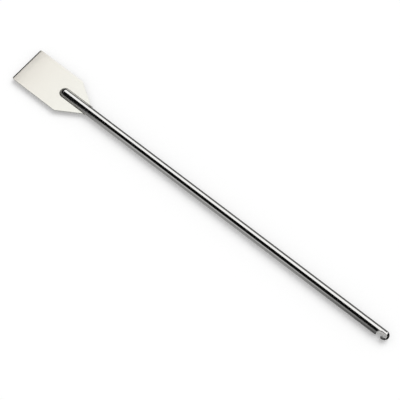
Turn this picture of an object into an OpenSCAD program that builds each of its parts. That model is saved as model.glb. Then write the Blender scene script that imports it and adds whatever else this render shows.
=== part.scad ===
// Kettle stirring paddle: a sheet blade let into a slotted round tube, which
// ends in a hanging hook. It lies on z = 0 with its blade level, the blade's
// tip toward -X and the hook's mouth toward -Y. The origin is on that surface,
// under the middle of the paddle's length and width.
// Lengths are in millimetres and angles in degrees.

/* [Overall] */
// Length from the blade's tip to the end of the hook
overall_length = 1219.2; // [800:0.1:1600]

/* [Blade] */
// Width across the blade's two long edges
blade_width = 114.3; // [80:0.1:160]
// Length of the part of the blade with parallel edges
blade_straight = 153; // [120:0.5:220]
// Length over which the shoulders narrow to the tube
shoulder_length = 70; // [40:0.5:110]
// How far the shoulders stand out from the tube where they end
shoulder_proud = 0.5; // [0.2:0.1:3]
// Thickness of the blade's sheet
blade_t = 2.5; // [1.5:0.1:4]
// Radius of the two corners at the tip
tip_corner_r = 5; // [1:0.5:15]
// Radius of the two corners where the shoulders start
shoulder_corner_r = 8; // [1:0.5:30]
// Width of the bevel ground on each face of the tip
bevel_width = 3.5; // [1:0.1:10]
// Thickness left at the bevelled tip
tip_t = 0.8; // [0.4:0.1:1.4]

/* [Handle tube] */
// Outside diameter of the tube, of its nose and of the hook end
tube_d = 25.4; // [20:0.1:34]
// Wall of the tube and of its closed nose
tube_wall = 1.2; // [0.8:0.1:2.5]
// Distance from the blade's tip to the tip of the tube's nose
nose_setback = 128; // [60:0.5:150]

/* [Hook end] */
// Length of the hook end from its seam with the tube to its tip
hook_length = 64; // [60:0.5:90]
// Width of the gap that takes a rail or a kettle's rim
hook_gap = 8; // [5:0.1:10]
// Thickness of the lip that closes the gap
lip_t = 4.2; // [3:0.1:6]
// Thickness of metal between the gap and the hook's tip
end_t = 4; // [3:0.1:10]
// Distance from the hook's tip to the tip of the lip
lip_length = 18; // [14:0.5:22]
// Distance from the hook's tip to the mouth's edge on the tube's side
mouth_length = 34; // [30:0.5:38]
// Lean of the mouth's edge, away from square across the tube
mouth_lean = 34; // [10:1:45]
// Radius of the gap's corner at the foot of the mouth's edge
throat_r = 4; // [1:0.5:6]
// Length of the spigot that plugs the tube's bore
spigot_length = 20; // [8:0.5:60]
// Gap all round between the spigot and the bore
spigot_clearance = 0.1; // [0.05:0.01:0.3]

/* [Welds] */
// Leg of the fillet beads between the blade and the tube
bead_leg = 2.5; // [1.5:0.1:4]
// Radius of the hollow face of those beads
bead_hollow_r = 5; // [4:0.5:20]
// Radius of the weld buttons at the two ends of the slot
button_r = 3.2; // [2:0.1:5]
// Width of the weld round the hook's seam
seam_width = 2; // [1:0.1:4]
// Depth of that weld's groove in the tube
seam_depth = 0.8; // [0.4:0.1:1]
// How far that weld's ground face dips below the tube's surface
seam_hollow = 0.05; // [0.02:0.01:0.2]

/* [Hidden] */

$fn = 96;

// How far a cutting shape reaches past what it cuts
over = 1;

tube_r = tube_d / 2;
bore_r = tube_r - tube_wall;

// Stations along X, from the blade's tip to the hook's tip
tip_x = -overall_length / 2;
end_x = overall_length / 2;
shoulder_x = tip_x + blade_straight;
slot_root_x = shoulder_x + shoulder_length;
tail_half = tube_r + shoulder_proud;
nose_x = tip_x + nose_setback;
nose_centre_x = nose_x + tube_r;
seam_x = end_x - hook_length;
dome_centre_x = end_x - tube_r;

// The hook's gap lies behind the lip, which is on the -Y side
lip_y = lip_t - tube_r;
back_y = lip_y + hook_gap;
gap_centre = [end_x - end_t - hook_gap / 2, lip_y + hook_gap / 2];
lip_tip_centre = [end_x - lip_length + lip_t / 2, lip_y - lip_t / 2];
mouth_reach = tube_r + over;
throat_x = end_x - mouth_length + tan(mouth_lean) * (back_y + tube_r);
mouth_x = throat_x - tan(mouth_lean) * (back_y + mouth_reach);

// Section of a fillet bead, as [distance from the tube's axis, height over it]
foot_h = blade_t / 2;
crest_h = foot_h + bead_leg;
bead_toe = [sqrt(pow(tube_r, 2) - pow(foot_h, 2)) + bead_leg, foot_h];
bead_crest = [sqrt(pow(tube_r, 2) - pow(crest_h, 2)), crest_h];

steel = [0.80, 0.80, 0.79];
sheet_steel = [0.88, 0.88, 0.87];
weld_steel = [0.62, 0.62, 0.61];

function unit(v) = v / norm(v);
function half_angle(a, p, b) = acos(unit(a - p) * unit(b - p)) / 2;

// Points where a fillet of radius r meets the two sides of corner p
function fillet_points(a, p, b, r) =
    let (reach = r / tan(half_angle(a, p, b)))
    [p + unit(a - p) * reach, p + unit(b - p) * reach];

function fillet_centre(a, p, b, r) =
    p + unit(unit(a - p) + unit(b - p)) * r / sin(half_angle(a, p, b));

// Outline through the corners, each given as [x, y, radius]
module rounded_outline(corners) {
    count = len(corners);
    function point(i) = let (c = corners[(i + count) % count]) [c[0], c[1]];
    polygon([
        for (i = [0 : count - 1])
            each corners[i][2] > 0
                ? fillet_points(point(i - 1), point(i), point(i + 1), corners[i][2])
                : [point(i)]
    ]);
    for (i = [0 : count - 1])
        if (corners[i][2] > 0)
            translate(fillet_centre(point(i - 1), point(i), point(i + 1), corners[i][2]))
                circle(r = corners[i][2]);
}

module blade_outline() {
    half = blade_width / 2;
    rounded_outline([
        [tip_x, -half, tip_corner_r],
        [shoulder_x, -half, shoulder_corner_r],
        [slot_root_x, -tail_half, 0],
        [slot_root_x, tail_half, 0],
        [shoulder_x, half, shoulder_corner_r],
        [tip_x, half, tip_corner_r]
    ]);
}

// Side view of the blade, with the bevels at its tip
module blade_profile() {
    polygon([
        [tip_x, -tip_t / 2],
        [tip_x + bevel_width, -blade_t / 2],
        [slot_root_x, -blade_t / 2],
        [slot_root_x, blade_t / 2],
        [tip_x + bevel_width, blade_t / 2],
        [tip_x, tip_t / 2]
    ]);
}

module blade_plate() {
    translate([0, 0, tube_r])
        intersection() {
            translate([0, 0, -blade_t / 2])
                linear_extrude(height = blade_t)
                    blade_outline();
            rotate([90, 0, 0])
                linear_extrude(height = blade_width + 2 * over, center = true)
                    blade_profile();
        }
}

// A bar along the tube's axis from x1 to x2
module along_axis(radius, x1, x2) {
    translate([x1, 0, tube_r])
        rotate([0, 90, 0])
            cylinder(r = radius, h = x2 - x1);
}

// The tube's outside or bore, with its round nose
module nosed_bar(radius, x2) {
    translate([nose_centre_x, 0, tube_r])
        sphere(r = radius);
    along_axis(radius, nose_centre_x, x2);
}

// Turns a section, given as [radius, distance from the seam], round the seam
module round_the_seam() {
    translate([seam_x, 0, tube_r])
        rotate([0, 90, 0])
            rotate_extrude()
                children();
}

// Groove for the seam's weld, open past the tube's surface
module seam_groove_section() {
    slope = seam_width / 2 / seam_depth;
    polygon([
        [tube_r - seam_depth, 0],
        [tube_r + over, -slope * (seam_depth + over)],
        [tube_r + over, slope * (seam_depth + over)]
    ]);
}

// The weld in that groove, with its face ground slightly hollow
module seam_weld_section() {
    hollow_r = (pow(seam_width / 2, 2) + pow(seam_hollow, 2)) / (2 * seam_hollow);
    difference() {
        intersection() {
            seam_groove_section();
            translate([tube_r - seam_depth - over, -seam_width])
                square([seam_depth + over, 2 * seam_width]);
        }
        translate([tube_r - seam_hollow + hollow_r, 0])
            circle(r = hollow_r);
    }
}

module hook_notch() {
    rounded_outline([
        [gap_centre[0], lip_y, 0],
        [gap_centre[0], back_y, 0],
        [throat_x, back_y, throat_r],
        [mouth_x, -mouth_reach, 0],
        [lip_tip_centre[0], -mouth_reach, 0],
        [lip_tip_centre[0], lip_y, 0]
    ]);
    translate(gap_centre)
        circle(d = hook_gap);
}

module bead_section() {
    chord = bead_crest - bead_toe;
    outward = unit([chord[1], -chord[0]]);
    depth = sqrt(pow(bead_hollow_r, 2) - pow(norm(chord) / 2, 2));
    difference() {
        polygon([
            bead_toe,
            bead_crest + unit(chord) * over / 2,
            [bead_crest[0] - over, foot_h]
        ]);
        translate((bead_toe + bead_crest) / 2 + outward * depth)
            circle(r = bead_hollow_r);
    }
}

// The bead on the blade's upper face: along both sides and round the nose
module fillet_bead() {
    difference() {
        intersection() {
            translate([0, 0, tube_r]) {
                for (side = [0, 1])
                    mirror([0, side, 0])
                        translate([nose_centre_x, 0, 0])
                            rotate([90, 0, 90])
                                linear_extrude(height = slot_root_x - nose_centre_x)
                                    bead_section();
                translate([nose_centre_x, 0, 0])
                    rotate([0, 0, 90])
                        rotate_extrude(angle = 180)
                            bead_section();
            }
            translate([0, 0, tube_r])
                linear_extrude(height = tube_r)
                    blade_outline();
        }
        nosed_bar(tube_r, slot_root_x + over);
        for (side = [-1, 1])
            slot_end_ball(side);
    }
}

// Ball of weld metal that closes the slot where the shoulder meets the tube
module slot_end_ball(side) {
    translate([slot_root_x, side * tail_half, tube_r])
        rotate([0, 0, side * 90])
            sphere(r = button_r);
}

module turned_over() {
    translate([0, 0, tube_r])
        mirror([0, 0, 1])
            translate([0, 0, -tube_r])
                children();
}

module blade() {
    color(sheet_steel)
        blade_plate();
}

module handle_tube() {
    color(steel)
        difference() {
            nosed_bar(tube_r, seam_x);
            nosed_bar(bore_r, seam_x + over);
            translate([nose_x - over, -tube_r - over, tube_r - blade_t / 2])
                cube([slot_root_x - nose_x + over, tube_d + 2 * over, blade_t]);
            round_the_seam()
                seam_groove_section();
        }
}

module hook_end() {
    color(steel)
        difference() {
            union() {
                translate([dome_centre_x, 0, tube_r])
                    sphere(r = tube_r);
                along_axis(tube_r, seam_x, dome_centre_x);
                along_axis(bore_r - spigot_clearance, seam_x - spigot_length, seam_x + over);
            }
            round_the_seam()
                seam_groove_section();
            difference() {
                translate([0, 0, -over])
                    linear_extrude(height = tube_d + 2 * over)
                        hook_notch();
                translate([lip_tip_centre[0], lip_tip_centre[1], -2 * over])
                    cylinder(d = lip_t, h = tube_d + 4 * over);
            }
        }
}

module top_weld() {
    color(weld_steel)
        fillet_bead();
}

module underside_weld() {
    color(weld_steel)
        turned_over()
            fillet_bead();
}

module slot_end_welds() {
    color(weld_steel)
        for (side = [-1, 1])
            difference() {
                slot_end_ball(side);
                along_axis(tube_r, nose_centre_x, seam_x);
                blade_plate();
            }
}

module hook_weld() {
    color(weld_steel)
        round_the_seam()
            seam_weld_section();
}

blade();
handle_tube();
hook_end();
top_weld();
underside_weld();
slot_end_welds();
hook_weld();
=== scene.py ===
# Looks of the kettle stirring paddle: finely meshed tube, blade, hook and weld
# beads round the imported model, procedural steels, a white floor and a studio.
# Lengths are in metres in the model's own frame, and MM turns millimetres into them.

import math

import bmesh
import bpy
import numpy as np
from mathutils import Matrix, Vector


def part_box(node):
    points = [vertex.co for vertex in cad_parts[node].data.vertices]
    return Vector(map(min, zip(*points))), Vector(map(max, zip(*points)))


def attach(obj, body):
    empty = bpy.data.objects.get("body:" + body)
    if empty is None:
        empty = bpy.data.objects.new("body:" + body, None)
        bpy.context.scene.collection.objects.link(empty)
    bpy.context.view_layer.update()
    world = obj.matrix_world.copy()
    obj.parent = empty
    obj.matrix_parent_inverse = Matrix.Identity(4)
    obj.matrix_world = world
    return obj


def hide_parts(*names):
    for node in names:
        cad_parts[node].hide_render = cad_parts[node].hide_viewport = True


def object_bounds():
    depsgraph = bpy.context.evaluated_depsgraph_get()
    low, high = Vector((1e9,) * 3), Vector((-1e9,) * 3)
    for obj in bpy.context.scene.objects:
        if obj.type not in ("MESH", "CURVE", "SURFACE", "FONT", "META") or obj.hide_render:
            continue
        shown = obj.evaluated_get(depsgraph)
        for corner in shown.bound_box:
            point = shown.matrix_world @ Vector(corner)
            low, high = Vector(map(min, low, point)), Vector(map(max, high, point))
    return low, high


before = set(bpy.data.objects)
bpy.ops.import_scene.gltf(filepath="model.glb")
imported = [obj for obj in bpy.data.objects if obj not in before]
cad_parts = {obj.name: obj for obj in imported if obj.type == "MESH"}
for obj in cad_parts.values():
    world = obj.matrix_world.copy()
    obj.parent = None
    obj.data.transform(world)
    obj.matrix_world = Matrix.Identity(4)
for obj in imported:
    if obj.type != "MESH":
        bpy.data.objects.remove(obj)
CAD_BOX = [list(corner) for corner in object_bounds()]

MM = 0.001
TAU = 2 * math.pi

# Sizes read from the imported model
TIP_X = CAD_BOX[0][0]
END_X = CAD_BOX[1][0]
TUBE_R = CAD_BOX[1][2] / 2
BLADE_HALF_WIDTH = CAD_BOX[1][1]
BLADE_LOW, BLADE_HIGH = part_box("blade")
BLADE_T = BLADE_HIGH.z - BLADE_LOW.z
SLOT_ROOT_X = BLADE_HIGH.x
NOSE_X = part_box("handle_tube")[0].x
NOSE_CENTRE_X = NOSE_X + TUBE_R
DOME_X = END_X - TUBE_R
SEAM_LOW, SEAM_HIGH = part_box("hook_weld")
SEAM_X = (SEAM_LOW.x + SEAM_HIGH.x) / 2
SPIGOT_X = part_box("hook_end")[0].x

# Sizes that the model's boxes don't show
BLADE_STRAIGHT = 153 * MM
TIP_CORNER_R = 5 * MM
SHOULDER_CORNER_R = 8 * MM
SHOULDER_PROUD = 0.5 * MM
BEVEL_WIDTH = 3.5 * MM
TIP_T = 0.8 * MM
EDGE_R = 0.35 * MM
TUBE_WALL = 1.2 * MM
SPIGOT_R = TUBE_R - 1.3 * MM
SPIGOT_SINK = 1 * MM
SEAM_DEPTH = 0.8 * MM
HOOK_GAP = 8 * MM
LIP_T = 4.2 * MM
END_T = 4 * MM
LIP_LENGTH = 18 * MM
MOUTH_LENGTH = 34 * MM
MOUTH_LEAN = math.radians(34)
THROAT_R = 4 * MM
HOOK_EDGE_R = 1.2 * MM
BEAD_LEG = 2.5 * MM
BEAD_HOLLOW_R = 5 * MM

# How fine the round meshes are, and the angles past which their edges are sharp
TUBE_FACETS = 128
TUBE_STATIONS = 24
NOSE_STEPS = 28
BORE_NOSE_STEPS = 16
CORNER_STEPS = 20
HOOK_CELL = 0.51 * MM
BEAD_STEP = 0.4 * MM
BEAD_ACROSS = 10
TUBE_SHARP = math.radians(30)
BEAD_SHARP = math.radians(50)
BLADE_SHARP = math.radians(20)

# The weld bead's ripples, and how far it reaches into the tube and the blade
RIPPLE_PITCH = 1.9 * MM
RIPPLE_HEIGHT = 0.10 * MM
RIPPLE_BEND = 0.9
RIPPLE_MIDDLE = 0.6
BEAD_ROOT = 0.5 * MM
BEAD_ROOT_RISE = 0.3 * MM
BEAD_SINK = 0.2 * MM

# The camera stands where the photograph was taken from. Angles are in degrees, and
# the lens and its sensor in millimetres. It looks at the aim, a point on the floor.
CAMERA_AZIMUTH = 39.94
CAMERA_ELEVATION = 65.0
CAMERA_DISTANCE = 3.62
CAMERA_LENS = 125.65
CAMERA_SENSOR = 36
AIM_X = 0.007
AIM_Y = -0.0056

# Light. The key lamp and the world together light a white floor to plain white.
# Angles turn about the handle, from the near horizon (0) over the zenith to the far one.
KEY_ANGLE = 125
KEY_SPREAD = 46
KEY_LIGHT = 0.34
WORLD_LIGHT = 1 - KEY_LIGHT

# The floor: its glow where it is seen, and the paint that brings it to a hair over white
FLOOR_LIFT = 0.16
FLOOR_ALBEDO = 1.01 - FLOOR_LIFT
FLOOR_REACH = 30

# Studio cards that only reflections see, and that draw the dark lines on the polished
# steel. Shades are brightnesses, and 1 is white. The long ones bend round the handle at
# one radius: a near card up from the floor, a black one over the handle, and a far one
# down to the floor again. The near and far cards also run flat along the floor toward the
# paddle, as painted shade on the floor. Far beyond the tip the near and over cards are
# pale, and they turn dark between two places.
CARD_RADIUS = 5.0
CARD_FROM_X = -4.5
LONG_CARD_TO_X = 8.5
FAR_CARD_TO_X = 1.0
ARC_STEP = 4
BLACK_FROM = 30
BLACK_TO = 98
FAR_FROM = 154
PALE_TO_X = -3.4
DARK_FROM_X = -3.05
PALE_SHADE = 0.55
BLACK_SHADE = 0.004
FAR_SHADE = 0.12
NEAR_SHADE_TIP = 0.01
NEAR_SHADE_MIDDLE = 0.46
NEAR_SHADE_HOOK = 0.13
NEAR_SHADE_BEYOND = 0.55
OVER_SHADE_BEYOND = 0.45

# A black card across the line of the paddle beyond its tip, and a small one by the hook
TIP_CARD_X = -0.9
TIP_CARD_HEIGHT = 0.6
TIP_CARD_REACH = 0.7
HOOK_FLAG_X = END_X + 8 * MM
HOOK_FLAG_REACH = 40 * MM

# Strips on the floor beside the paddle and between the hook and its flag. They are painted
# shadow: dark sheets on the floor that only the reflections see.
STRIP_INNER = 0.009
STRIP_OUTER = 0.125
STRIP_Z = 0.3 * MM
STRIP_OVERHANG = 0.2
HOOK_STRIP_GAP = 2 * MM
STRIP_SHADE_NOSE = 0.17
STRIP_SHADE_MIDDLE = 0.28
STRIP_SHADE_HOOK = 0.08

# Shades along X for each card, as (x, shade)
BLACK = ((0, BLACK_SHADE),)
NEAR_STOPS = (
    (PALE_TO_X, PALE_SHADE),
    (DARK_FROM_X, NEAR_SHADE_TIP),
    (-2.37, NEAR_SHADE_TIP),
    (-2.12, NEAR_SHADE_MIDDLE),
    (-0.7, NEAR_SHADE_MIDDLE),
    (0.0, NEAR_SHADE_HOOK),
    (1.2, NEAR_SHADE_HOOK),
    (2.0, NEAR_SHADE_BEYOND),
)
OVER_STOPS = (
    (PALE_TO_X, PALE_SHADE),
    (DARK_FROM_X, BLACK_SHADE),
    (1.2, BLACK_SHADE),
    (2.0, OVER_SHADE_BEYOND),
)
STRIP_STOPS = (
    (-0.43, STRIP_SHADE_NOSE),
    (-0.34, STRIP_SHADE_MIDDLE),
    (0.30, STRIP_SHADE_MIDDLE),
    (0.55, STRIP_SHADE_HOOK),
)

# How bright the steels are, how far that varies, and how warm they look
TUBE_TONE = 0.89
HOOK_TONE = 0.91
WELD_TONE = 0.75
POLISH_VARIES = 0.05
WELD_VARIES = 0.08
STEEL_WARMTH = 0.012
WELD_WARMTH = 0.03

# The blade's satin sheet: two greys, how far between them it is at each end, and a tint
# that is warm at the tip. The lower share at the tip is painted shade, which makes the
# sheet darker toward its tip. Satin sheet is less metallic than polished steel.
BLADE_DARK_TONE = 0.76
BLADE_LIGHT_TONE = 0.96
BLADE_TIP_SHARE = 0.65
BLADE_TAIL_SHARE = 0.72
BLADE_TIP_TINT = (1.0, 0.96, 0.88)
BLADE_TAIL_TINT = (1.0, 1.0, 0.93)
BLADE_METALLIC = 0.75

# How strongly each mark shows in the steel's grey
GRAIN_CONTRAST = 1.3
CLOUD_CONTRAST = 0.35
LINE_CONTRAST = 1.2
MARK_CONTRAST = 0.8

# The steels' fine marks, in features per metre along x, y and z
SHEET_GRAIN = (60, 2500, 2500)
SHEET_SCUFFS = (420, 3000, 3000)
SHEET_WAVES = (9, 12.6, 9)
SHEET_CLOUDS = (22, 22, 22)
TUBE_LINES = (14, 2600, 2600)
HOOK_LINES = (900, 1500, 1500)
HAND_MARKS = (24.5, 70, 70)
WELD_BRUSH = (900, 3800, 3800)
WELD_HEAT = (130, 130, 130)

# How deep those marks are
GRAIN_DEPTH = 0.004 * MM
WAVE_DEPTH = 0.3 * MM
LINE_DEPTH = 0.0015 * MM
BRUSH_DEPTH = 0.01 * MM

# Roughness from the smoothest to the roughest spot
SHEET_ROUGH = (0.10, 0.30)
TUBE_ROUGH = (0.05, 0.22)
HOOK_ROUGH = (0.06, 0.24)
WELD_ROUGH = (0.18, 0.36)


def add_mesh(name, points, faces):
    """New object from a list of points and faces, smooth but for its sharp edges."""
    mesh = bpy.data.meshes.new(name)
    mesh.from_pydata([tuple(p) for p in points], [], [tuple(f) for f in faces])
    mesh.validate()
    mesh.shade_smooth()
    piece = bpy.data.objects.new(name, mesh)
    bpy.context.scene.collection.objects.link(piece)
    return piece


def dress(piece, slot, material, *nodes):
    """Puts a finished piece on the paddle in place of the CAD nodes that it stands for."""
    piece.data.materials.clear()
    piece.data.materials.append(material)
    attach(piece, "root")
    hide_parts(*nodes)


class Nodes:
    """Short forms for building a node tree."""

    def __init__(self, tree):
        self.tree = tree
        tree.nodes.clear()

    def add(self, kind, settings=None, **inputs):
        """A new node with its settings, fed with values or other nodes' outputs."""
        node = self.tree.nodes.new(kind)
        for key, value in (settings or {}).items():
            setattr(node, key, value)
        for key, value in inputs.items():
            self.feed(node.inputs[key.replace("_", " ")], value)
        return node

    def feed(self, socket, value):
        """Links an output to a socket, or sets the socket to a value."""
        if isinstance(value, bpy.types.NodeSocket):
            self.tree.links.new(value, socket)
        else:
            socket.default_value = value

    def math(self, operation, *values):
        """The result of one math node."""
        node = self.tree.nodes.new("ShaderNodeMath")
        node.operation = operation
        for socket, value in zip(node.inputs, values):
            self.feed(socket, value)
        return node.outputs[0]

    def spread(self, factor, low, high):
        """Turns a factor from 0 to 1 into a value from low to high."""
        return self.math("MULTIPLY_ADD", factor, high - low, low)

    def noise(self, scale, detail=3.0, roughness=0.5, shift=(0, 0, 0)):
        """Noise in the paddle's frame, at a scale for each axis in features per metre."""
        place = self.add("ShaderNodeTexCoord").outputs["Object"]
        mapping = self.add("ShaderNodeMapping")
        self.feed(mapping.inputs["Vector"], place)
        mapping.inputs["Scale"].default_value = scale
        mapping.inputs["Location"].default_value = shift
        texture = self.add("ShaderNodeTexNoise")
        self.feed(texture.inputs["Vector"], mapping.outputs[0])
        texture.inputs["Scale"].default_value = 1.0
        texture.inputs["Detail"].default_value = detail
        texture.inputs["Roughness"].default_value = roughness
        return texture.outputs["Fac"]

    def bump(self, height, distance, normal=None):
        """A normal tilted by a height, on top of another normal where one is given."""
        node = self.add("ShaderNodeBump")
        node.inputs["Strength"].default_value = 1.0
        node.inputs["Distance"].default_value = distance
        self.feed(node.inputs["Height"], height)
        if normal is not None:
            self.feed(node.inputs["Normal"], normal)
        return node.outputs["Normal"]

    def ramp(self, factor, dark, light):
        """A colour between two others."""
        node = self.add("ShaderNodeMix", {"data_type": "RGBA"})
        self.feed(node.inputs["Factor"], factor)
        self.feed(node.inputs["A"], (*dark, 1))
        self.feed(node.inputs["B"], (*light, 1))
        return node.outputs["Result"]

    def tinted(self, colour, tint):
        """A colour multiplied by a tint."""
        node = self.add("ShaderNodeMix", {"data_type": "RGBA", "blend_type": "MULTIPLY"})
        self.feed(node.inputs["Factor"], 1.0)
        self.feed(node.inputs["A"], colour)
        self.feed(node.inputs["B"], tint)
        return node.outputs["Result"]


def new_material(name):
    """An empty material and its nodes."""
    material = bpy.data.materials.new(name)
    material.use_nodes = True
    return material, Nodes(material.node_tree)


def steel(nodes, colour, roughness, normal, metallic=1.0):
    """A metal surface from its colour, roughness and normal."""
    shader = nodes.add("ShaderNodeBsdfPrincipled")
    nodes.feed(shader.inputs["Metallic"], metallic)
    nodes.feed(shader.inputs["Base Color"], colour)
    nodes.feed(shader.inputs["Roughness"], roughness)
    nodes.feed(shader.inputs["Normal"], normal)
    output = nodes.add("ShaderNodeOutputMaterial")
    nodes.feed(output.inputs["Surface"], shader.outputs[0])


def warm_grey(tone, warmth):
    """A grey with a little less green and still less blue."""
    return (tone, tone - warmth / 2, tone - warmth * 2)


def greys(tone, varies, warmth):
    """Two steel colours round a tone, the darker one first."""
    return warm_grey(tone - varies, warmth), warm_grey(tone + varies, warmth)


def sheet_steel():
    """Bright rolled sheet: fine grain along the blade, soft clouds, a slight waviness, and
    painted shade that darkens it toward the tip.
    """
    material, nodes = new_material("sheet_steel_rolled")
    grain = nodes.noise(SHEET_GRAIN, detail=4.0, roughness=0.6)
    clouds = nodes.noise(SHEET_CLOUDS, detail=4.0, shift=(3.1, 0.4, 0))
    waves = nodes.noise(SHEET_WAVES, detail=1.0, shift=(0.7, 1.9, 0))
    scuffs = nodes.noise(SHEET_SCUFFS, detail=2.0, shift=(5, 2, 0))
    place = nodes.add("ShaderNodeTexCoord").outputs["Object"]
    along = nodes.add("ShaderNodeSeparateXYZ", Vector=place).outputs["X"]
    back = nodes.add("ShaderNodeMapRange", Value=along, From_Min=TIP_X, From_Max=SLOT_ROOT_X)
    back = back.outputs[0]
    middle = (GRAIN_CONTRAST + CLOUD_CONTRAST) / 2
    # Painted shade: the sheet's grey runs darker toward the tip
    tone = nodes.spread(back, BLADE_TIP_SHARE - middle, BLADE_TAIL_SHARE - middle)
    tone = nodes.math("MULTIPLY_ADD", grain, GRAIN_CONTRAST, tone)
    tone = nodes.math("MULTIPLY_ADD", clouds, CLOUD_CONTRAST, tone)
    grey = nodes.ramp(tone, (BLADE_DARK_TONE,) * 3, (BLADE_LIGHT_TONE,) * 3)
    colour = nodes.tinted(grey, nodes.ramp(back, BLADE_TIP_TINT, BLADE_TAIL_TINT))
    rough = nodes.spread(nodes.math("MULTIPLY", scuffs, clouds), *SHEET_ROUGH)
    normal = nodes.bump(grain, GRAIN_DEPTH)
    normal = nodes.bump(waves, WAVE_DEPTH, normal)
    ground = nodes.math("LESS_THAN", along, TIP_X + BEVEL_WIDTH)
    metallic = nodes.spread(ground, BLADE_METALLIC, 1.0)
    steel(nodes, colour, rough, normal, metallic)
    return material


def polished_steel(name, tone, rough_range, scale):
    """Mirror polish with fine lines, and a thin film of handling marks."""
    material, nodes = new_material(name)
    lines = nodes.noise(scale, detail=3.0, roughness=0.65)
    marks = nodes.noise(HAND_MARKS, detail=5.0, roughness=0.6, shift=(1.3, 0, 2.2))
    middle = (LINE_CONTRAST + MARK_CONTRAST) / 2
    shade = nodes.math("MULTIPLY_ADD", lines, LINE_CONTRAST, 0.5 - middle)
    shade = nodes.math("MULTIPLY_ADD", marks, MARK_CONTRAST, shade)
    colour = nodes.ramp(shade, *greys(tone, POLISH_VARIES, STEEL_WARMTH))
    rough = nodes.spread(nodes.math("MULTIPLY", lines, marks), *rough_range)
    steel(nodes, colour, rough, nodes.bump(lines, LINE_DEPTH))
    return material


def dressed_weld():
    """Fillet bead brushed clean: satin, with a faint straw tint left by the heat."""
    material, nodes = new_material("dressed_weld_brushed")
    brush = nodes.noise(WELD_BRUSH, detail=3.0, roughness=0.6)
    heat = nodes.noise(WELD_HEAT, detail=3.0, shift=(0.5, 3.3, 1))
    colour = nodes.ramp(heat, *greys(WELD_TONE, WELD_VARIES, WELD_WARMTH))
    rough = nodes.spread(brush, *WELD_ROUGH)
    steel(nodes, colour, rough, nodes.bump(brush, BRUSH_DEPTH))
    return material


def revolved(name, profile, count):
    """Closed shell: a closed profile of (x, radius) points turned round the tube's axis."""
    points = []
    faces = []
    rings = []
    for x, radius in profile:
        if radius == 0:
            rings.append([len(points)] * count)
            points.append((x, 0, TUBE_R))
            continue
        rings.append([len(points) + k for k in range(count)])
        for k in range(count):
            turn = TAU * k / count
            points.append((x, radius * math.cos(turn), TUBE_R + radius * math.sin(turn)))
    for here, after in zip(rings, rings[1:] + rings[:1]):
        for k in range(count):
            corners = [here[k], here[(k + 1) % count], after[(k + 1) % count], after[k]]
            distinct = list(dict.fromkeys(corners))
            if len(distinct) > 2:
                faces.append(distinct)
    return add_mesh(name, points, faces)


def nose_arc(radius, steps):
    """Points of the round nose, from its tip back to where it meets the straight tube."""
    turns = [math.pi / 2 * k / steps for k in range(steps + 1)]
    arc = [(NOSE_CENTRE_X - radius * math.cos(t), radius * math.sin(t)) for t in turns]
    return [(arc[0][0], 0)] + arc[1:]


def tube_piece():
    """The tube as a closed shell with its wall, round nose, welding groove and blade slot."""
    bore_r = TUBE_R - TUBE_WALL
    length = SEAM_LOW.x - SLOT_ROOT_X
    profile = nose_arc(TUBE_R, NOSE_STEPS)
    for k in range(TUBE_STATIONS + 1):
        profile.append((SLOT_ROOT_X + length * k / TUBE_STATIONS, TUBE_R))
    profile += [(SEAM_X, TUBE_R - SEAM_DEPTH), (SEAM_X, bore_r)]
    profile += reversed(nose_arc(bore_r, BORE_NOSE_STEPS))
    tube = revolved("handle_tube_polished", profile, TUBE_FACETS)
    cut_slot(tube)
    tube.data.set_sharp_from_angle(angle=TUBE_SHARP)
    return tube


def cut_slot(tube):
    """Cuts the slot that the blade sits in, up to its root."""
    reach = 2 * MM
    low = Vector((NOSE_X - reach, -TUBE_R - reach, TUBE_R - BLADE_T / 2))
    high = Vector((SLOT_ROOT_X, TUBE_R + reach, TUBE_R + BLADE_T / 2))
    bm = bmesh.new()
    bmesh.ops.create_cube(bm, size=1)
    for vertex in bm.verts:
        vertex.co = [a + (b - a) * (c + 0.5) for a, b, c in zip(low, high, vertex.co)]
    cutter_mesh = bpy.data.meshes.new("slot_cutter")
    bm.to_mesh(cutter_mesh)
    bm.free()
    cutter = bpy.data.objects.new("slot_cutter", cutter_mesh)
    bpy.context.scene.collection.objects.link(cutter)
    cut = tube.modifiers.new("slot", "BOOLEAN")
    cut.operation = "DIFFERENCE"
    cut.solver = "EXACT"
    cut.object = cutter
    apply_modifiers(tube)
    bpy.data.objects.remove(cutter)
    bpy.data.meshes.remove(cutter_mesh)


def apply_modifiers(piece):
    """Replaces a piece's mesh with what its modifiers make of it."""
    graph = bpy.context.evaluated_depsgraph_get()
    made = bpy.data.meshes.new_from_object(piece.evaluated_get(graph))
    old = piece.data
    piece.modifiers.clear()
    piece.data = made
    bpy.data.meshes.remove(old)
    made.name = piece.name


def swung(arm, turn):
    """A flat vector turned by an angle, counterclockwise."""
    c, s = math.cos(turn), math.sin(turn)
    return Vector((c * arm.x - s * arm.y, s * arm.x + c * arm.y))


def rounded(corners):
    """Outline through (x, y, radius) corners, each rounded by an arc of that radius."""
    outline = []
    for k, (x, y, radius) in enumerate(corners):
        corner = Vector((x, y))
        before = (Vector(corners[k - 1][:2]) - corner).normalized()
        after = (Vector(corners[(k + 1) % len(corners)][:2]) - corner).normalized()
        if radius == 0:
            outline.append(corner)
            continue
        half = before.angle(after) / 2
        centre = corner + (before + after).normalized() * radius / math.sin(half)
        start = corner + before * radius / math.tan(half) - centre
        end = corner + after * radius / math.tan(half) - centre
        sweep = start.angle_signed(end)
        for step in range(CORNER_STEPS + 1):
            outline.append(centre + swung(start, -sweep * step / CORNER_STEPS))
    return outline


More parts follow.
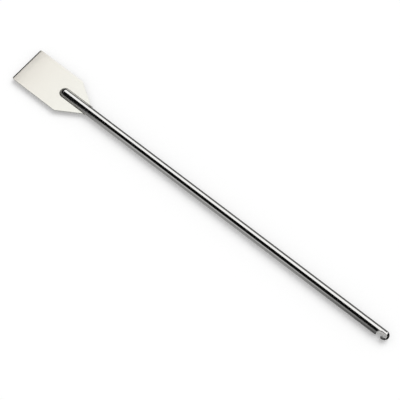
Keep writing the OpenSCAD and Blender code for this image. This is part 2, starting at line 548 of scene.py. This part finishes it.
def blade_outline():
    """The sheet in plan, with rounded corners and its shoulders drawn in to the tube."""
    half = BLADE_HALF_WIDTH
    shoulder_x = TIP_X + BLADE_STRAIGHT
    tail = TUBE_R + SHOULDER_PROUD
    return rounded([
        (TIP_X, -half, TIP_CORNER_R),
        (shoulder_x, -half, SHOULDER_CORNER_R),
        (SLOT_ROOT_X, -tail, 0),
        (SLOT_ROOT_X, tail, 0),
        (shoulder_x, half, SHOULDER_CORNER_R),
        (TIP_X, half, TIP_CORNER_R),
    ])


def blade_piece():
    """The blade: rolled sheet with a bevel ground at its tip and broken edges."""
    outline = blade_outline()
    bm = bmesh.new()
    low = [bm.verts.new((p.x, p.y, BLADE_LOW.z)) for p in outline]
    high = [bm.verts.new((p.x, p.y, BLADE_HIGH.z)) for p in outline]
    bm.faces.new(low[::-1])
    bm.faces.new(high)
    for k in range(len(outline)):
        bm.faces.new((low[k - 1], low[k], high[k], high[k - 1]))
    bm.normal_update()
    for side in (-1, 1):
        grind_tip(bm, side)
    rim = [e for e in bm.edges if e.calc_face_angle(0) > BLADE_SHARP]
    bmesh.ops.bevel(bm, geom=rim, offset=EDGE_R, segments=3, profile=0.5, affect="EDGES",
                    clamp_overlap=True)
    blade = bpy.data.objects.new("blade_rolled_sheet", bpy.data.meshes.new("blade_rolled_sheet"))
    bm.to_mesh(blade.data)
    bm.free()
    bpy.context.scene.collection.objects.link(blade)
    blade.data.shade_smooth()
    weigh = blade.modifiers.new("weigh", "WEIGHTED_NORMAL")
    weigh.keep_sharp = True
    apply_modifiers(blade)
    return blade


def grind_tip(bm, side):
    """Grinds the bevel on the tip's upper (1) or lower (-1) face, and keeps its foot crisp."""
    drop = (BLADE_T - TIP_T) / 2
    foot = Vector((TIP_X, 0, TUBE_R + side * TIP_T / 2))
    outward = Vector((-drop, 0, side * BEVEL_WIDTH)).normalized()
    geometry = bm.verts[:] + bm.edges[:] + bm.faces[:]
    cut = bmesh.ops.bisect_plane(bm, geom=geometry, plane_co=foot, plane_no=outward,
                                 clear_outer=True)
    edges = [e for e in cut["geom_cut"] if isinstance(e, bmesh.types.BMEdge)]
    bmesh.ops.contextual_create(bm, geom=edges)
    face_z = TUBE_R + side * BLADE_T / 2
    hair = 0.01 * MM
    for edge in edges:
        at_foot = all(abs(vertex.co.z - face_z) < hair for vertex in edge.verts)
        edge.smooth = not at_foot


def round_max(a, b, radius):
    """Distance to what two bodies share, with their common edge rounded to a radius."""
    corner = np.hypot(np.maximum(a + radius, 0), np.maximum(b + radius, 0))
    return np.minimum(np.maximum(a, b), -radius) + corner


def notch_distance(x, y):
    """Distance, in plan, to the outline of the hook's open gap. It is negative inside."""
    lip_y = LIP_T - TUBE_R
    back_y = lip_y + HOOK_GAP
    gap_x = END_X - END_T - HOOK_GAP / 2
    gap_y = lip_y + HOOK_GAP / 2
    lip_x = END_X - LIP_LENGTH + LIP_T / 2
    throat_x = END_X - MOUTH_LENGTH + math.tan(MOUTH_LEAN) * (back_y + TUBE_R)
    gap = np.hypot(np.maximum(x - gap_x, 0), y - gap_y) - HOOK_GAP / 2
    lip_tip = LIP_T / 2 - np.hypot(x - lip_x, y - (lip_y - LIP_T / 2))
    mouth = np.maximum(x - lip_x, y - back_y)
    opening = np.maximum(np.minimum(gap, mouth), lip_tip)
    edge = (throat_x - x) * math.cos(MOUTH_LEAN) - (back_y - y) * math.sin(MOUTH_LEAN)
    return round_max(opening, edge, THROAT_R)


def hook_distance(points):
    """Distance to the hook end: a domed bar with the gap cut through, and its spigot."""
    x, y, z = points[..., 0], points[..., 1], points[..., 2] - TUBE_R
    radial = np.hypot(y, z)
    bar = np.hypot(np.maximum(x - DOME_X, 0), radial) - TUBE_R
    half_width = (SEAM_HIGH.x - SEAM_LOW.x) / 2
    groove = SEAM_X + (radial - TUBE_R + SEAM_DEPTH) * half_width / SEAM_DEPTH - x
    groove = np.maximum(groove * SEAM_DEPTH / math.hypot(half_width, SEAM_DEPTH), SEAM_X - x)
    bar = np.maximum(bar, groove)
    hook = round_max(bar, -notch_distance(x, y), HOOK_EDGE_R)
    spigot = np.maximum(np.maximum(radial - SPIGOT_R, SPIGOT_X - x), x - SEAM_X - SPIGOT_SINK)
    return np.minimum(hook, spigot)


def slope_of(distance, points):
    """Unit normals of a distance function."""
    step = 0.004 * MM
    parts = []
    for axis in np.eye(3):
        parts.append(distance(points + axis * step) - distance(points - axis * step))
    slope = np.stack(parts, axis=-1)
    return slope / np.maximum(np.linalg.norm(slope, axis=-1, keepdims=True), 1e-12)


def pull_to_surface(distance, points, passes=6):
    """Moves points along the normal until they lie on the surface."""
    for _ in range(passes):
        points = points - slope_of(distance, points) * distance(points)[..., None]
    return points


def implicit_piece(name, distance, low, high, cell):
    """Mesh of the surface where a distance function is zero, inside a box."""
    axes = [np.arange(start - cell, end + 2 * cell, cell) for start, end in zip(low, high)]
    grid = np.stack(np.meshgrid(*axes, indexing="ij"), axis=-1)
    inside = distance(grid) < 0
    corners = np.zeros([n - 1 for n in inside.shape], int)
    for i in (0, 1):
        for j in (0, 1):
            for k in (0, 1):
                nx, ny, nz = corners.shape
                corners += inside[i:i + nx, j:j + ny, k:k + nz]
    mixed = (corners > 0) & (corners < 8)
    number = np.full(mixed.shape, -1)
    number[mixed] = np.arange(mixed.sum())
    points = grid[:-1, :-1, :-1][mixed] + cell / 2
    quads = np.concatenate([crossing_quads(inside, number, axis) for axis in range(3)])
    points = even_out(distance, points, quads)
    piece = add_mesh(name, points, quads.tolist())
    piece.data.normals_split_custom_set_from_vertices(slope_of(distance, points))
    return piece


def crossing_quads(inside, number, axis):
    """A quad round each grid edge along an axis where the surface passes."""
    turned = np.moveaxis(inside, axis, 0)
    cells = np.moveaxis(number, axis, 0)
    here, there = turned[:-1, 1:-1, 1:-1], turned[1:, 1:-1, 1:-1]
    quads = []
    for leaving in (True, False):
        i, j, k = np.nonzero(here & ~there if leaving else ~here & there)
        ring = [cells[i, j, k], cells[i, j + 1, k], cells[i, j + 1, k + 1], cells[i, j, k + 1]]
        if leaving != (axis != 1):
            ring.reverse()
        quads.append(np.stack(ring, axis=-1))
    return np.concatenate(quads)


def even_out(distance, points, quads, passes=4):
    """Evens the spacing of the points and keeps them on the surface."""
    points = pull_to_surface(distance, points)
    ends = np.concatenate([quads[:, [k, (k + 1) % 4]] for k in range(4)])
    for _ in range(passes):
        total = np.zeros_like(points)
        count = np.zeros(len(points))
        np.add.at(total, ends[:, 0], points[ends[:, 1]])
        np.add.at(count, ends[:, 0], 1)
        points = 0.5 * points + 0.5 * total / count[:, None]
        points = pull_to_surface(distance, points, 3)
    return points


def hook_piece():
    """The hook end with its edges rounded by hand polishing."""
    low = (SPIGOT_X, -TUBE_R, 0)
    high = (END_X, TUBE_R, 2 * TUBE_R)
    return implicit_piece("hook_end_polished", hook_distance, low, high, HOOK_CELL)


def bead_path():
    """Stations along a bead as (axis x, outward direction, travel), round the tube's nose."""
    straight = SLOT_ROOT_X - NOSE_CENTRE_X
    mean_r = TUBE_R + BEAD_LEG / 2
    count = math.ceil(straight / BEAD_STEP)
    turns = math.ceil(math.pi * mean_r / BEAD_STEP)
    stations = []
    for k in range(count):
        travel = straight * k / count
        stations.append((SLOT_ROOT_X - travel, Vector((0, 1, 0)), travel))
    for k in range(turns + 1):
        turn = math.pi * k / turns
        outward = Vector((-math.sin(turn), math.cos(turn), 0))
        stations.append((NOSE_CENTRE_X, outward, straight + mean_r * turn))
    for k in range(1, count + 1):
        back = straight * k / count
        travel = straight + math.pi * mean_r + back
        stations.append((NOSE_CENTRE_X + back, Vector((0, -1, 0)), travel))
    return stations


def bead_section(axis_x, travel):
    """One cross-section of a bead, toe first, with its ripple and the root that it hides."""
    foot_h = BLADE_T / 2
    crest_h = foot_h + BEAD_LEG
    shoulder = SLOT_ROOT_X - TIP_X - BLADE_STRAIGHT
    slope = (BLADE_HALF_WIDTH - TUBE_R - SHOULDER_PROUD) / shoulder
    room = TUBE_R + SHOULDER_PROUD + slope * (SLOT_ROOT_X - axis_x) - EDGE_R
    toe = math.sqrt(TUBE_R**2 - foot_h**2) + BEAD_LEG
    foot = Vector((min(toe, room), foot_h))
    crest = Vector((math.sqrt(TUBE_R**2 - crest_h**2), crest_h))
    spots = []
    for k, (spot, normal) in enumerate(bead_face(foot, crest)):
        spots.append(spot + normal * ripple_height(k / BEAD_ACROSS, travel))
    spots.append(crest - Vector((BEAD_ROOT, BEAD_ROOT_RISE)))
    spots.append(Vector((crest.x - BEAD_ROOT, foot_h - BEAD_SINK)))
    spots.append(foot - Vector((0, BEAD_SINK)))
    return spots


def ripple_height(share, travel):
    """Height of the weld ripples at a share of the way across and at a travel along."""
    phase = (travel + RIPPLE_PITCH * RIPPLE_BEND * (2 * share - 1) ** 2) / RIPPLE_PITCH
    across = math.sin(math.pi * share) ** 0.5
    return RIPPLE_HEIGHT * across * (abs(math.sin(math.pi * phase)) - RIPPLE_MIDDLE)


def bead_piece(name, side):
    """A fillet bead with its weld ripples, on the blade's upper (1) or lower (-1) face."""
    points = []
    stations = bead_path()
    for axis_x, outward, travel in stations:
        section = bead_section(axis_x, travel)
        points += [bead_point(axis_x, outward, spot, side) for spot in section]
    ring = len(section)
    faces = []
    for n in range(len(stations) - 1):
        for k in range(ring):
            a, b = n * ring + k, n * ring + (k + 1) % ring
            faces.append((a, b, b + ring, a + ring) if side < 0 else (a, a + ring, b + ring, b))
    first = list(range(ring))
    last = [len(points) - ring + k for k in range(ring)]
    faces.append(first if side > 0 else first[::-1])
    faces.append(last[::-1] if side > 0 else last)
    bead = add_mesh(name, points, faces)
    bead.data.set_sharp_from_angle(angle=BEAD_SHARP)
    return bead


def bead_face(foot, crest):
    """Points and outward normals across the bead's slightly hollow face, toe first."""
    chord = crest - foot
    outward = Vector((chord.y, -chord.x)).normalized()
    centre = (foot + crest) / 2 + outward * math.sqrt(BEAD_HOLLOW_R**2 - (chord.length / 2) ** 2)
    start, end = foot - centre, crest - centre
    sweep = -start.angle_signed(end)
    spots = []
    for k in range(BEAD_ACROSS + 1):
        arm = swung(start, sweep * k / BEAD_ACROSS)
        spots.append((centre + arm, -arm.normalized()))
    return spots


def bead_point(axis_x, outward, spot, side):
    """Where a spot of the cross-section lies in the model."""
    return Vector((axis_x, 0, TUBE_R + side * spot.y)) + outward * spot.x


def add_camera():
    """Camera at the photograph's angle, aimed at a point on the floor."""
    data = bpy.data.cameras.new("camera")
    data.sensor_width = CAMERA_SENSOR
    data.lens = CAMERA_LENS
    camera = bpy.data.objects.new("camera", data)
    azimuth, elevation = math.radians(CAMERA_AZIMUTH), math.radians(CAMERA_ELEVATION)
    flat = math.cos(elevation)
    back = Vector((math.sin(azimuth) * flat, -math.cos(azimuth) * flat, math.sin(elevation)))
    camera.location = Vector((AIM_X, AIM_Y, 0)) + back * CAMERA_DISTANCE
    camera.rotation_mode = "QUATERNION"
    camera.rotation_quaternion = (-back).to_track_quat("-Z", "Y")
    bpy.context.scene.collection.objects.link(camera)
    bpy.context.scene.camera = camera


def seen_directly(nodes):
    """1 for what the camera, a reflection or a transmission sees, and 0 for lighting."""
    path = nodes.add("ShaderNodeLightPath")
    shown = nodes.math("MAXIMUM", path.outputs["Is Camera Ray"], path.outputs["Is Glossy Ray"])
    shown = nodes.math("MAXIMUM", shown, path.outputs["Is Transmission Ray"])
    unscattered = nodes.math("LESS_THAN", path.outputs["Diffuse Depth"], 0.5)
    return nodes.math("MULTIPLY", shown, unscattered)


def add_floor():
    """White floor that keeps the paddle's shadow and shows as white where it is lit."""
    size = FLOOR_REACH
    corners = [(-size, -size, 0), (size, -size, 0), (size, size, 0), (-size, size, 0)]
    floor = add_mesh("floor", corners, [(0, 1, 2, 3)])
    material, nodes = new_material("white_floor")
    material.cycles.emission_sampling = "NONE"
    paint = (FLOOR_ALBEDO,) * 3 + (1,)
    diffuse = nodes.add("ShaderNodeBsdfDiffuse", Color=paint)
    lift = nodes.add("ShaderNodeEmission", Color=(1, 1, 1, 1))
    nodes.feed(lift.inputs["Strength"], nodes.math("MULTIPLY", seen_directly(nodes), FLOOR_LIFT))
    both = nodes.add("ShaderNodeAddShader")
    nodes.feed(both.inputs[0], diffuse.outputs[0])
    nodes.feed(both.inputs[1], lift.outputs[0])
    output = nodes.add("ShaderNodeOutputMaterial")
    nodes.feed(output.inputs["Surface"], both.outputs[0])
    floor.data.materials.append(material)


def add_world():
    """White studio walls: white where they are seen, and a plain level of light from them."""
    world = bpy.data.worlds.new("studio")
    world.use_nodes = True
    world.cycles.sampling_method = "NONE"
    bpy.context.scene.world = world
    nodes = Nodes(world.node_tree)
    strength = nodes.spread(seen_directly(nodes), WORLD_LIGHT, 1.0)
    background = nodes.add("ShaderNodeBackground", Color=(1, 1, 1, 1))
    nodes.feed(background.inputs["Strength"], strength)
    output = nodes.add("ShaderNodeOutputWorld")
    nodes.feed(output.inputs["Surface"], background.outputs[0])


def add_key_lamp():
    """Distant soft lamp over the far side, which throws the shadow toward the camera."""
    data = bpy.data.lights.new("key", "SUN")
    data.angle = math.radians(KEY_SPREAD)
    data.energy = KEY_LIGHT * math.pi / math.sin(math.radians(KEY_ANGLE))
    lamp = bpy.data.objects.new("key", data)
    lamp.rotation_euler = (math.radians(90 - KEY_ANGLE), 0, 0)
    lamp.visible_glossy = False
    bpy.context.scene.collection.objects.link(lamp)


def add_card(name, points, faces, stops):
    """A card that only the metal's reflections see, its shade given by (x, shade) stops."""
    material, nodes = new_material(name)
    material.cycles.emission_sampling = "NONE"
    place = nodes.add("ShaderNodeTexCoord").outputs["Object"]
    along = nodes.add("ShaderNodeSeparateXYZ", Vector=place).outputs["X"]
    first, last = CARD_FROM_X, LONG_CARD_TO_X
    share = nodes.add("ShaderNodeMapRange", Value=along, From_Min=first, From_Max=last)
    ramp = nodes.add("ShaderNodeValToRGB", Fac=share.outputs[0])
    marks = ramp.color_ramp.elements
    marks.remove(marks[1])
    marks[0].color = (stops[0][1],) * 3 + (1,)
    for x, shade in stops:
        marks.new((x - first) / (last - first)).color = (shade,) * 3 + (1,)
    glow = nodes.add("ShaderNodeEmission", Color=ramp.outputs["Color"])
    output = nodes.add("ShaderNodeOutputMaterial")
    nodes.feed(output.inputs["Surface"], glow.outputs[0])
    card = add_mesh(name, points, faces)
    card.data.materials.append(material)
    card.visible_camera = False
    card.visible_diffuse = False
    card.visible_shadow = False


def arc(start, end):
    """Points (y, z) about the handle at the cards' radius, from one angle to another."""
    steps = math.ceil((end - start) / ARC_STEP)
    turns = [math.radians(start + (end - start) * k / steps) for k in range(steps + 1)]
    return [(-CARD_RADIUS * math.cos(t), CARD_RADIUS * math.sin(t)) for t in turns]


def add_long_card(name, profile, stops, low=CARD_FROM_X, high=LONG_CARD_TO_X):
    """A card that runs along the paddle with the same (y, z) profile all the way."""
    points = [(x, y, z) for y, z in profile for x in (low, high)]
    faces = [(2 * k, 2 * k + 1, 2 * k + 3, 2 * k + 2) for k in range(len(profile) - 1)]
    add_card(name, points, faces, stops)


def add_end_card(name, x, reach, top):
    """A black card that stands across the paddle's line."""
    corners = [(x, -reach, 0), (x, reach, 0), (x, reach, top), (x, -reach, top)]
    add_card(name, corners, [(0, 1, 2, 3)], BLACK)


def add_cards():
    """Cards round the paddle, which draw the dark lines along the polished handle, and painted
    shadow strips.
    """
    outer, inner = (-STRIP_OUTER, STRIP_Z), (-STRIP_INNER, STRIP_Z)
    # The near card starts flat on the floor, as painted shade there, then rises into its arc
    add_long_card("card_near", [outer] + arc(0, BLACK_FROM), NEAR_STOPS)
    add_long_card("card_over", arc(BLACK_FROM, BLACK_TO), OVER_STOPS)
    # The far card ends flat on the floor up to the paddle, as painted shade there
    far = arc(FAR_FROM, 180) + [(STRIP_INNER, STRIP_Z)]
    add_long_card("card_far", far, [(0, FAR_SHADE)], high=FAR_CARD_TO_X)
    low, high = TIP_X - STRIP_OVERHANG, END_X + STRIP_OVERHANG
    # Painted shadow: a dark strip on the floor beside the paddle, seen only in reflections
    add_long_card("painted_shadow_strip_near", [outer, inner], STRIP_STOPS, low, high)
    add_end_card("card_tip", TIP_CARD_X, TIP_CARD_REACH, TIP_CARD_HEIGHT)
    add_end_card("flag_hook", HOOK_FLAG_X, HOOK_FLAG_REACH, HOOK_FLAG_REACH)
    # Painted shadow: a black strip on the floor between the hook and its flag, seen only in
    # reflections
    across = [(-STRIP_INNER, STRIP_Z), (STRIP_INNER, STRIP_Z)]
    add_long_card("painted_shadow_strip_hook", across, BLACK, END_X + HOOK_STRIP_GAP, HOOK_FLAG_X)


add_camera()
add_world()
add_floor()
add_key_lamp()
add_cards()

TUBE_STEEL = polished_steel("tube_steel_mirror", TUBE_TONE, TUBE_ROUGH, TUBE_LINES)
HOOK_STEEL = polished_steel("hook_steel_mirror", HOOK_TONE, HOOK_ROUGH, HOOK_LINES)
WELD_STEEL = dressed_weld()

dress(tube_piece(), "polished_tube", TUBE_STEEL, "handle_tube")
dress(blade_piece(), "sheet_steel", sheet_steel(), "blade")
dress(hook_piece(), "polished_hook", HOOK_STEEL, "hook_end")
dress(bead_piece("top_weld_bead", 1), "dressed_weld", WELD_STEEL, "top_weld")
dress(bead_piece("underside_weld_bead", -1), "dressed_weld", WELD_STEEL, "underside_weld")
for node, material in (("slot_end_welds", WELD_STEEL), ("hook_weld", TUBE_STEEL)):
    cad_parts[node].data.materials.clear()
    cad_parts[node].data.materials.append(material)

scene = bpy.context.scene
scene.view_settings.view_transform = "Standard"
